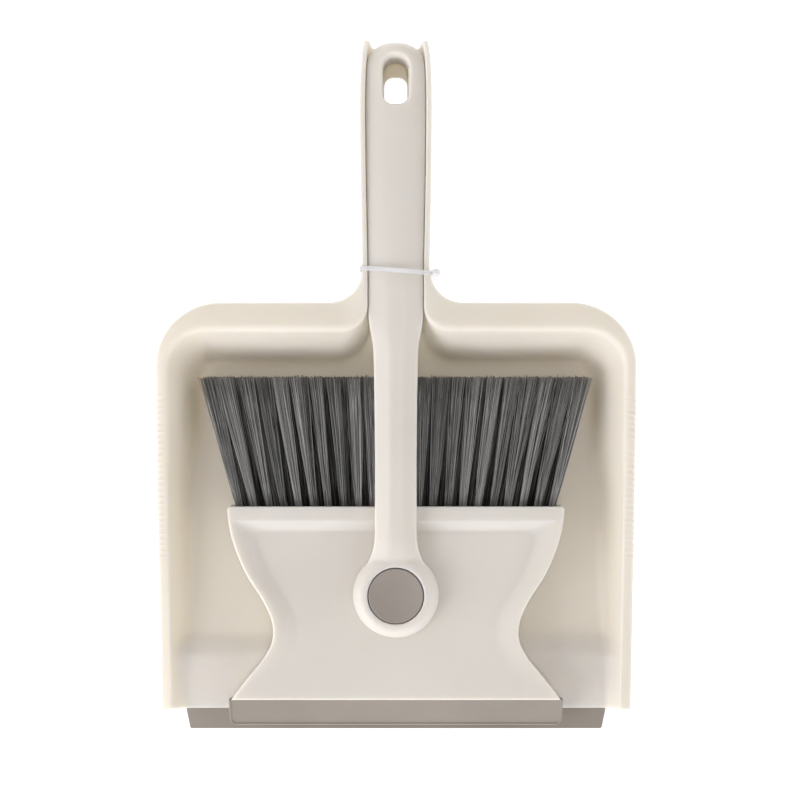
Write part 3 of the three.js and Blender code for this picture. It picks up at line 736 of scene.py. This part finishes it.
# how far the channel's wall has come in where the grip is widest, and the play left there
DRAFT_AT_GRIP, GRIP_PLAY = 0.25, 0.05
DOME_DROP, FACET_DROP, FACET_FROM, FACET_BLEND = 2.9, 4.3, 0.3, 0.07
EDGE_RADIUS, NESTED_EDGE_RADIUS, EDGE_STEPS, SIDE_DRAFT = 1.7, 0.9, 5, 1.8
BOSS_RADIUS, BOSS_BOTTOM, BOSS_TOP, BOSS_FLOOR, BOSS_ROUNDING = 22.75, 22.8, 33.4, 26, 7
POST_RADIUS, POST_BOTTOM, POST_SCREW_RADIUS = 7.4, 12, 1.6
BRUSH_SLOT = (13, HUB[1] + 255.6, HUB[1] + 279.6, 5, 6.4)
BAYS, BAY_LENGTH, BAY_WALL, BAY_BELOW = np.arange(28, 211, 33), 31, 3.2, 3
grip_curve = curve_through(GRIP, 260)


def top_drop(u, flats):
    """How far the handle's top falls from its middle (u = 0) to its edge (u = 1)."""
    dome = DOME_DROP * u * u
    beyond = max(0.0, u - FACET_FROM)
    facet = FACET_DROP * max(0.0, math.hypot(beyond, FACET_BLEND) - FACET_BLEND)
    return mix(dome, facet, flats)


def nested(y):
    """1 where the grip lies in the pan's channel, 0 on the neck and at the very end."""
    return float(smooth((y - NEST_FROM) / NEST_RISE) * smooth((NEST_TO - y) / NEST_FALL))


def grip_flare(y, half, inset):
    """How far the grip widens in the pan's channel, which it fills with little play."""
    channel_half = handle_half(y + HUB[1]) - CHANNEL_WALL - DRAFT_AT_GRIP
    return max(0.0, channel_half - GRIP_PLAY - inset - half) * nested(y)


def grip_ring(values, inset=0.0, lower=0.0, steps=24):
    """One loop round the grip; inset and lower make the smaller loops of the hollows below."""
    y, half, top, bottom, flats = values
    half, top, bottom = half - inset, top - inset, bottom - lower
    half += grip_flare(y, half, inset)
    edge = min(mix(EDGE_RADIUS, NESTED_EDGE_RADIUS, nested(y)), half * 0.35)
    flat, depth = half - edge, min(1.0, half / 11)
    rim = top - top_drop(1, flats) * depth
    ring = []
    for k in range(EDGE_STEPS):
        a = math.radians(75 * k / EDGE_STEPS)
        ring.append((flat + edge * math.cos(a), rim - edge + edge * math.sin(a)))
    for u in np.linspace(1, -1, steps):
        ring.append((u * flat, top - top_drop(abs(u), flats) * depth))
    ring += [(-x, z) for x, z in ring[EDGE_STEPS - 1 :: -1]]
    side = np.array((-half, rim - edge))
    foot = np.array((SIDE_DRAFT - half, bottom))
    corners = [side, foot, foot * (-1, 1), side * (-1, 1)]
    radius = min(5.0, 0.4 * half)
    ring += [tuple(p) for p in rounded(corners, (radius, radius), 8)[1:-1]]
    return [(x, y + HUB[1], z) for x, z in ring]


def grip_at(y):
    return [y, *[float(np.interp(y, grip_curve[:, 0], grip_curve[:, k])) for k in range(1, 5)]]


def even_out(obj, size):
    """Adds a modifier that remakes the surface from faces of about one size."""
    step = obj.modifiers.new("even", "REMESH")
    step.mode = "VOXEL"
    step.voxel_size = size * MM


def relax_hub(obj, passes):
    """Smooths where the neck runs into the boss, and leaves the rest as it is."""
    group = obj.vertex_groups.new(name="hub")
    places = np.empty(len(obj.data.vertices) * 3)
    obj.data.vertices.foreach_get("co", places)
    places = places.reshape(-1, 3) / MM
    reach = np.hypot(places[:, 0], places[:, 1] - HUB[1])
    weight = smooth((44 - reach) / 12) * smooth((places[:, 2] - BOSS_BOTTOM - 1) / 3)
    for level in range(1, 11):
        members = np.nonzero(np.round(weight * 10) == level)[0]
        group.add(members.tolist(), level / 10, "REPLACE")
    step = obj.modifiers.new("relax hub", "SMOOTH")
    step.vertex_group = "hub"
    step.factor = 0.5
    step.iterations = passes
    apply_modifiers(obj)


def make_brush_handle():
    """The grip joined to the boss and its post, hollow below and open for the disc and the hook."""
    order = np.argsort(grip_curve[:, 0])
    grip = loft("brush_grip", [grip_ring(grip_curve[i]) for i in order])
    post = [(POST_RADIUS, POST_BOTTOM), (POST_RADIUS, BOSS_BOTTOM)]
    boss = [(BOSS_RADIUS - 0.3, BOSS_BOTTOM), (BOSS_RADIUS, BOSS_BOTTOM + 0.3)]
    rise, steps = BOSS_TOP - BOSS_BOTTOM - 1, 14
    for k in range(1, steps + 1):
        a = math.radians(90 * k / steps)
        reach = BOSS_RADIUS - BOSS_ROUNDING + BOSS_ROUNDING * math.cos(a) ** 0.9
        boss.append((reach, BOSS_BOTTOM + 1 + rise * math.sin(a) ** 1.05))
    carve(grip, [turned("boss", [*post, *boss], 128)], "UNION")
    even_out(grip, 0.6)
    apply_modifiers(grip)
    relax_hub(grip, 40)
    r = button_high[0]
    pocket = [(r, BOSS_FLOOR), (r, BOSS_TOP - 0.5), (r + 0.9, BOSS_TOP + 0.6), (r + 0.9, 60)]
    screw_hole = [(POST_SCREW_RADIUS, 5), (POST_SCREW_RADIUS, 21)]
    tools = [turned("pocket", pocket, 96), turned("screw_hole", screw_hole, 32)]
    # height, and how much wider the hanging slot is there
    levels = [(10, 0), (46.4, 0), (48.2, 0.3), (49.8, 1.3), (51.6, 3), (60, 5)]
    tools.append(loft("hang_slot", [slot_ring(BRUSH_SLOT, z, grow) for z, grow in levels]))
    for start in BAYS:
        ys = np.linspace(start, start + BAY_LENGTH, 9)
        rings = [grip_ring(grip_at(y), BAY_WALL, BAY_BELOW, 20) for y in ys]
        tools.append(loft("bay", rings))
    carve(grip, tools)
    even_out(grip, 0.5)
    relax = grip.modifiers.new("relax", "SMOOTH")
    relax.factor = 0.5
    relax.iterations = 5
    apply_modifiers(grip)
    shade(grip, 70)
    grip.name = "brush_handle_body"
    finish_piece(grip, CREAM, "brush_handle", "brush_handle")


def make_button():
    """A dished disc with a stub and a hollow for the spring on its underside."""
    radius, top, under = button_high[0] - 0.45, button_high[2] - 0.4, button_low[2]
    stub, roof = 2.2, under + 1.5
    corners = [(stub, under), (stub, roof), (radius - 1.5, roof), (radius - 1.4, under), (radius, under)]
    edge, edge_steps, dish = 0.5, 6, 1.6
    for k in range(edge_steps + 1):
        a = math.radians(90 * k / edge_steps)
        corners.append((radius - edge + edge * math.cos(a), top - edge + edge * math.sin(a)))
    for r in np.linspace(radius - 0.9, 0.3, 20):
        corners.append((r, top - dish * (1 - (r / (radius - edge)) ** 2)))
    disc = turned("button_disc", corners, 160, 50)
    finish_piece(disc, TAUPE_PLASTIC, "button", "swivel_button")


def make_button_spring():
    """A coil that narrows upward, so that the button can press it nearly flat."""
    low, high = box_mm("button_spring")
    wire, turns, top_radius, steps, sides = 0.4, 3.5, 2.9, 120, 8
    rings = []
    for t in np.linspace(0, 1, steps):
        a = 2 * math.pi * turns * t
        reach = mix(high[0] - wire, top_radius, t)
        z = mix(low[2] + wire, high[2] - wire, t)
        ring = []
        for b in np.arange(sides) * 2 * math.pi / sides:
            r = reach + wire * math.cos(b)
            ring.append((HUB[0] + r * math.cos(a), HUB[1] + r * math.sin(a), z + wire * math.sin(b)))
        rings.append(ring)
    coil = loft("button_coil", rings)
    finish_piece(coil, STEEL, "brush_handle", "button_spring")
    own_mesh(coil)


# ---------------------------------------------------------------- the brush head

# y from the hub, and half width
HEAD_SIDE = [(-56, 87), (-46, 79.5), (-35, 70.6), (-25, 65.4), (-14.5, 65.3), (-2.5, 70.5), (12, 79.5),
             (30, 86.5), (46.5, 89.2)]
HEAD_FRONT, HEAD_REAR = HEAD_SIDE[0][0], HEAD_SIDE[-1][0]
HEAD_FACE, HEAD_RIM, HEAD_WALL = 22.5, shell_high[2], 2.2
BAND = 8.0
BEARING_RADIUS, SLEEVE_RADIUS = 7.8, 11
TONGUE_HALF, TONGUE_BOTTOM, TONGUE_TOP = 75, 10.7, 16.8
head_curve = curve_through(HEAD_SIDE, 80)


def head_half(y):
    return float(np.interp(y, head_curve[:, 0], head_curve[:, 1]))


def head_rim(y):
    return HEAD_FACE + 0.1 + (HEAD_RIM - HEAD_FACE - 0.1) * float(smooth((y - HEAD_FRONT) / 70))


def head_ring(side, top, foot, height, corner=0.0):
    """One loop round the head, set in by `side`, `top` and `foot`. height is a function of y."""
    y1, y0 = HEAD_REAR - top, HEAD_FRONT + foot
    ys = np.linspace(y0, y1, 64)
    right = []
    for y in ys:
        tuck = 0.0
        if corner and y > y1 - corner:
            tuck = corner - math.sqrt(max(0.0, corner**2 - (y - y1 + corner) ** 2))
        right.append((head_half(y) - side - tuck, y))
    x1, x0 = right[-1][0], right[0][0]
    loop = right + [(x, y1) for x in np.linspace(x1, -x1, 62)[1:-1]]
    loop += [(-x, y) for x, y in right[::-1]] + [(x, y0) for x in np.linspace(-x0, x0, 62)[1:-1]]
    return [(x, y + HUB[1], height(y)) for x, y in loop]


def make_head():
    """The hourglass shell with its raised rim and sunk face, hollow inside round a bearing sleeve."""
    level = lambda z: lambda y: z
    above = lambda drop: lambda y: head_rim(y) - drop
    part_way = lambda t: lambda y: mix(head_rim(y), HEAD_FACE, t)
    rings = [
        head_ring(0.5, 0.5, 0.5, level(shell_low[2])),
        head_ring(0, 0, 0, level(shell_low[2] + 0.5), 1.5),
        head_ring(0, 0, 0, above(1.1), 1.5),
        head_ring(0.1, 0.1, 0.06, above(0.6), 1.5),
        head_ring(0.4, 0.4, 0.15, above(0.2), 1.5),
        head_ring(0.8, 0.85, 0.3, above(0.03), 1.5),
        head_ring(1.1, 2.0, 0.45, above(0), 1.3),
    ]
    # from the raised band's inner edge (t = 0) down to the sunk face (t = 1)
    for t in (0, 0.04, 0.12, 0.24, 0.4, 0.56, 0.72, 0.86, 0.95, 1):
        drop = float(mix(smooth(t), t, 0.35))
        side, top, foot = 1.5 + 11.5 * t, BAND - 0.8 + 6.5 * t, 0.6 + 2.4 * t
        rings.append(head_ring(side, top, foot, part_way(drop), 1.2 + 5 * t))
    head = loft("head_shell", rings, 32)
    inside = (shell_low[2] - 3, HEAD_FACE - 2 * HEAD_WALL)
    hollow = loft("hollow", [head_ring(HEAD_WALL, HEAD_WALL, HEAD_WALL, level(z)) for z in inside])
    gap = 0.3
    slot_top = (block_high[0] + gap, shell_high[1] + 4, block_high[2] + gap)
    slot = block("tuft_slot", block_low - (gap, gap, gap), slot_top)
    reach = TONGUE_HALF + gap
    blade_slot = block("blade_slot", (-reach, blade_low[1], TONGUE_BOTTOM - gap),
                       (reach, blade_high[1] + gap, TONGUE_TOP + gap))
    bearing = turned("bearing", [(BEARING_RADIUS, 0), (BEARING_RADIUS, 60)], 48)
    carve(head, [hollow, slot, blade_slot, bearing])
    sleeve = turned("sleeve", [(SLEEVE_RADIUS, 12.6), (SLEEVE_RADIUS, HEAD_FACE - 0.8)], 64)
    bore = turned("bore", [(BEARING_RADIUS, 0), (BEARING_RADIUS, 60)], 64)
    carve(sleeve, [bore])
    carve(head, [sleeve], "UNION")
    shade(head, 32)
    finish_piece(head, CREAM, "brush_head", "head_front_shell")


def make_blade():
    """The squeegee: a sloping rubber flap with a bead along its ends and wiping edge, on a tongue."""
    half, tip = blade_high[0] + 0.6, blade_low[1] + 0.02
    root = HUB[1] + (HEAD_FRONT - 0.3)
    corner, bead_high, bead_wide = 4.2, 0.7, 1.3
    end_steps, turn_steps = 7, 12
    top_heights, under_heights = (19.2, 10.9), (10.5, 9.6)

    def half_at(y):
        drop = y - tip
        tuck = 0 if drop >= corner else corner - math.sqrt(max(0.0, corner**2 - (corner - drop) ** 2))
        return half - tuck

    def top_at(y):
        return mix(*top_heights, (root - y) / (root - tip))

    def under_at(y):
        return mix(*under_heights, (root - y) / (root - tip))

    def loop(inset, lift):
        """The flap's outline from above, set in by `inset`; lift(y) gives the height."""
        turn = np.linspace(0, np.pi / 2, turn_steps)
        ys = [*np.linspace(root, tip + corner, end_steps + 1)[:-1]]
        ys += [*(tip + corner - (corner - inset) * np.sin(turn))]
        right = [(max(half_at(max(y, tip)) - inset, half - corner), y) for y in ys]
        edge = [(x, tip + inset) for x in np.linspace(half - corner - 1, corner + 1 - half, 30)]
        out = [*right, *edge, *[(-x, y) for x, y in right[::-1]]]
        return [(x, y, lift(y)) for x, y in out]

    rings = [
        loop(0.7, under_at),
        loop(0.25, lambda y: under_at(y) + 0.2),
        loop(0.0, lambda y: under_at(y) + 0.6),
        loop(0.0, lambda y: top_at(y) - 0.5),
        loop(0.15, lambda y: top_at(y) - 0.1 + bead_high * 0.4),
        loop(0.42, lambda y: top_at(y) + bead_high * 0.85),
        loop(0.7, lambda y: top_at(y) + bead_high),
        loop(0.98, lambda y: top_at(y) + bead_high * 0.8),
        loop(bead_wide, lambda y: top_at(y) + 0.1),
        loop(bead_wide + 0.35, top_at),
    ]
    blade = strip_loft("squeegee", rings, end_steps + turn_steps)
    tongue = block("tongue", (-TONGUE_HALF, root - 1, TONGUE_BOTTOM),
                   (TONGUE_HALF, blade_high[1], TONGUE_TOP))
    carve(blade, [tongue], "UNION")
    shade(blade, 40)
    finish_piece(blade, TAUPE_RUBBER, "brush_head", "squeegee_blade")


# ---------------------------------------------------------------- bristles

ROWS, TUFTS = 4, 22
STAGGERED_ROW = 1
# half the width over the outermost tufts, and the heights of the lowest and the highest row
ROOT_HALF, TIP_HALF = 82.6, 98.8
ROOT_Z, TIP_Z = (12.8, 22.0), (10.6, 24.2)
FILAMENTS, FILAMENT_STEPS, FILAMENT_RADIUS, FILAMENT_TAPER = 95, 6, 0.2, 0.03
FILAMENT_Z = (8.6, 26.9)
CLUMPS, GATHERING = 9, 0.45
STRAY_SHARE, SHORT_SHARE, LONG_SHARE = 0.04, 0.1, 0.03
# painted shade: the rows below the top one, and every filament toward its root, are made darker where
# the tufts shade each other
MIDDLE_SHADE, LOWER_ROW_PAINTED_SHADE, ROOT_PAINTED_SHADE = 0.47, 0.2, 0.04


def places_on_disc(rng, count):
    """Points spread evenly over a disc of radius 1."""
    angle = rng.random(count) * 2 * np.pi
    radius = np.sqrt(rng.random(count))
    return np.stack([radius * np.cos(angle), radius * np.sin(angle)], 1)


def tube_mesh(name, lines, rng):
    """Thin tubes along the lines. They have three sides and closed ends, and each is turned at
    random."""
    n = len(lines)
    thick = FILAMENT_RADIUS - FILAMENT_TAPER * np.linspace(0, 1, FILAMENT_STEPS)
    ring = (rng.random(n) * 2 * np.pi)[:, None] + np.array([0, 2, 4])[None, :] * np.pi / 3
    offset = np.stack([np.cos(ring), np.zeros_like(ring), np.sin(ring)], 2)
    points = lines[:, :, None, :] + offset[:, None, :, :] * thick[None, :, None, None]
    base = (np.arange(n) * FILAMENT_STEPS * 3)[:, None]
    quads = []
    for s in range(FILAMENT_STEPS - 1):
        for k in range(3):
            a, b = s * 3 + k, s * 3 + (k + 1) % 3
            quads.append(np.concatenate([base + a, base + b, base + b + 3, base + a + 3], 1))
    last = (FILAMENT_STEPS - 1) * 3
    root_cap = np.concatenate([base + 2, base + 1, base], 1)
    tip_cap = np.concatenate([base + last, base + last + 1, base + last + 2], 1)
    faces = [tuple(f) for f in np.concatenate(quads).tolist() + [*root_cap.tolist(), *tip_cap.tolist()]]
    mesh = bpy.data.meshes.new(name)
    mesh.from_pydata((points.reshape(-1, 3) * MM).tolist(), [], faces)
    mesh.polygons.foreach_set("use_smooth", [True] * len(mesh.polygons))
    return mesh


def make_bristles(row, rng):
    """One row of tufts. Each filament bows a little and has its own shade of grey, with painted shade
    toward its root and over the whole of a lower row. Those of one clump lean together, which opens
    thin gaps between clumps."""
    share = row / (ROWS - 1)
    count = TUFTS - (row == STAGGERED_ROW)
    root_y = block_high[1] + 0.1
    tip_y = box_mm("bristle_row_1")[1][1]
    across = (2 * np.arange(count) - (count - 1)) / (TUFTS - 1)
    tuft = np.repeat(np.arange(count), FILAMENTS)
    n = len(tuft)
    tuft_lean = rng.normal(0, 0.55, (count, 2))
    tuft_shade = rng.normal(0, 0.05, count)
    disc = places_on_disc(rng, n)
    clump = tuft * CLUMPS + rng.integers(0, CLUMPS, n)
    clump_place = places_on_disc(rng, count * CLUMPS)
    clump_shade = rng.normal(0, 0.08, count * CLUMPS)
    gathered = mix(disc, clump_place[clump], GATHERING)
    loose = rng.normal(0, 1, (n, 2))
    stray = rng.random(n) < STRAY_SHARE
    root = np.stack([across[tuft] * ROOT_HALF + 1.9 * disc[:, 0], np.full(n, root_y),
                     mix(*ROOT_Z, share) + 1.4 * disc[:, 1]], 1)
    spread = 5.4 * gathered + 0.5 * loose + stray[:, None] * 1.8 * loose
    ragged = rng.normal(0, 0.4, n) - (rng.random(n) < SHORT_SHARE) * rng.random(n) * 4
    ragged += (rng.random(n) < LONG_SHARE) * rng.random(n) * 1.4
    tip = np.stack([across[tuft] * TIP_HALF + spread[:, 0] + tuft_lean[tuft, 0], tip_y - 0.3 + ragged,
                    mix(*TIP_Z, share) + 0.5 * spread[:, 1] + 0.4 * tuft_lean[tuft, 1]], 1)
    bow = rng.normal(0, 0.45, (n, 2))
    t = np.linspace(0, 1, FILAMENT_STEPS)
    hump = np.sin(np.pi * t)
    line = root[:, None, :] + (tip - root)[:, None, :] * t[None, :, None]
    line[:, :, 0] += bow[:, None, 0] * hump
    line[:, :, 2] += bow[:, None, 1] * hump * 0.6
    line[:, :, 2] = np.clip(line[:, :, 2], *FILAMENT_Z)
    mesh = tube_mesh(f"tufts_{row + 1}", line, rng)
    # painted shade: every row below the top one is made darker
    depth = 0.0 if row == ROWS - 1 else LOWER_ROW_PAINTED_SHADE
    tone_and_painted_shade = MIDDLE_SHADE - depth + tuft_shade[tuft] + clump_shade[clump] + rng.normal(0, 0.19, n)
    # painted shade: darker toward the root, and more so on the lower rows
    tone_and_painted_shade = tone_and_painted_shade[:, None] - (ROOT_PAINTED_SHADE + depth) * (1 - t)[None, :] ** 2
    layer = mesh.attributes.new("shade", "FLOAT", "POINT")
    tone_and_painted_shade = np.repeat(np.clip(tone_and_painted_shade, 0, 1)[:, :, None], 3, 2)
    layer.data.foreach_set("value", tone_and_painted_shade.ravel().astype(np.float32))
    obj = new_object(f"tufts_{row + 1}", mesh)
    finish_piece(obj, BRISTLE, "brush_head", f"bristle_row_{row + 1}")


# ---------------------------------------------------------------- stage, light and camera

COOL_WHITE = (0.975, 0.985, 1.06)
# the tent's glow at the horizon and straight overhead
TENT = (1.79, 0.0)


def make_stage():
    """A plain pale floor just under the set. It glows faintly, like the photo's pure white ground."""
    size, below = 3.0, 0.0004
    mesh = bpy.data.meshes.new("floor")
    corners = [(-size, -size, 0), (size, -size, 0), (size, size, 0), (-size, size, 0)]
    mesh.from_pydata(corners, [], [(0, 1, 2, 3)])
    floor = new_object("floor", mesh)
    floor.location.z = -below
    material, _, _, shader = new_material("studio_floor")
    shader.inputs["Base Color"].default_value = (0.98, 0.98, 0.98, 1)
    shader.inputs["Roughness"].default_value = 0.9
    shader.inputs["Specular IOR Level"].default_value = 0.1
    shader.inputs["Emission Color"].default_value = (1, 1, 1, 1)
    shader.inputs["Emission Strength"].default_value = 0.3
    floor.data.materials.append(material)


def new_light(name, kind, energy, place):
    data = bpy.data.lights.new(name, kind)
    data.energy = energy
    data.color = COOL_WHITE
    light = new_object(name, data)
    light.location = place
    return light


def area_light(name, place, size, watts):
    """A square panel that faces the middle of the set."""
    light = new_light(name, "AREA", watts, place)
    light.data.shape = "SQUARE"
    light.data.size = size
    light.rotation_euler = (-Vector(place)).to_track_quat("-Z", "Y").to_euler()


def sun_light(name, strength, degrees):
    """Light from straight above, soft enough to have no hard shadow."""
    light = new_light(name, "SUN", strength, (0, 0, 2))
    light.data.angle = math.radians(degrees)
    light.visible_glossy = False


def make_light():
    """A light tent that glows at its sides, a broad key light from the front left, a weaker light low
    in front, and soft light from above."""
    world = bpy.data.worlds.new("studio")
    world.use_nodes = True
    nodes, links = world.node_tree.nodes, world.node_tree.links
    background = nodes["Background"]
    background.inputs["Color"].default_value = (*COOL_WHITE, 1)
    direction = nodes.new("ShaderNodeTexCoord")
    parts = nodes.new("ShaderNodeSeparateXYZ")
    links.new(direction.outputs["Generated"], parts.inputs["Vector"])
    glow = value_range(nodes, links, parts.outputs["Z"], *TENT)
    links.new(glow.outputs["Result"], background.inputs["Strength"])
    bpy.context.scene.world = world
    area_light("key", (-1.15, -0.75, 0.82), size=1.0, watts=10.5)
    area_light("front", (0.2, -1.6, 0.45), size=0.9, watts=3.2)
    sun_light("overhead", strength=0.84, degrees=8)
    bpy.context.scene.view_settings.view_transform = "Standard"
    bpy.context.scene.view_settings.look = "None"


def make_camera():
    """Straight down from 1.1 m, as in the photo."""
    data = bpy.data.cameras.new("camera")
    data.sensor_width = 36
    data.lens = 91.8
    camera = new_object("camera", data)
    camera.location = (2.2 * MM, -4 * MM, 1.1)
    bpy.context.scene.camera = camera


make_camera()
make_light()
make_stage()
make_pan()
make_lip()
make_tie()
make_brush_handle()
make_button()
make_button_spring()
make_head()
make_blade()
generator = np.random.default_rng(7)
for row in range(ROWS):
    make_bristles(row, generator)

steel_nodes = ["pivot_washer", "pivot_screw", "detent_spring", *[f"head_screw_{i}" for i in range(1, 5)]]
for names, material in ((["head_back_cover", "tuft_block"], CREAM), (steel_nodes, STEEL)):
    for name in names:
        materials = frame["nodes"][name].data.materials
        materials.clear()
        materials.append(material)
